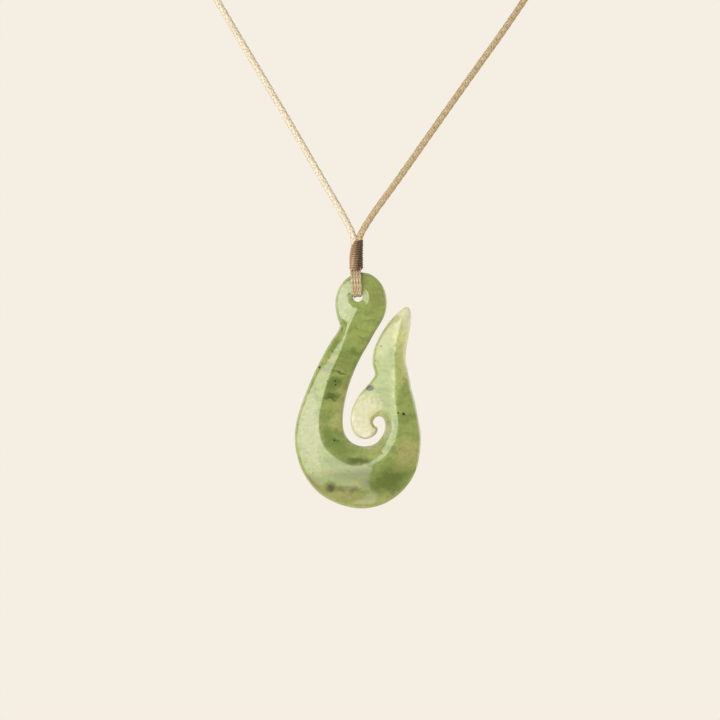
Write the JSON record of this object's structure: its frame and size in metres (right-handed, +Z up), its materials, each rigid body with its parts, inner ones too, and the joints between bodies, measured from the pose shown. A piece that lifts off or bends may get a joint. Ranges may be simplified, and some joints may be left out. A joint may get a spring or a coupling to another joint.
{
  "type": "hei matau greenstone pendant on a plaited cord",
  "caption": "Carved greenstone fish hook with an inner curl, hung by waxed threads from a brown lashing on a plaited neck cord that forms a closed loop",
  "frame": {"origin": "middle of the neck loop, where the wearer's neck stands", "axes": "+Z up, -Y towards the front of the pendant, +X to the viewer's right"},
  "size_m": [0.1296, 0.1389, 0.2124],
  "materials": {
    "nephrite": "polished translucent green nephrite with paler and darker clouds",
    "waxed_thread": "waxed tan polyester or linen thread",
    "brown_thread": "waxed brown thread, closely wound",
    "plaited_cord": "four strand round plait of waxed tan thread"
  },
  "bodies": {
    "cord": {"lashing": "brown_thread", "eye_strand_1": "waxed_thread", "eye_strand_2": "waxed_thread", "eye_strand_3": "waxed_thread", "eye_strand_4": "waxed_thread", "front_cord_left": "plaited_cord", "front_cord_right": "plaited_cord", "neck_cord_left": "plaited_cord", "neck_cord_right": "plaited_cord", "nape_binding": "brown_thread"},
    "pendant": {"hook": "nephrite"}
  },
  "joints": [
    {"name": "pendant_swing", "type": "hinge", "parent": "cord", "child": "pendant", "pos_m": [0, -0.072, -0.125], "axis": [0, 1, 0], "range_deg": [-15, 15]}
  ]
}
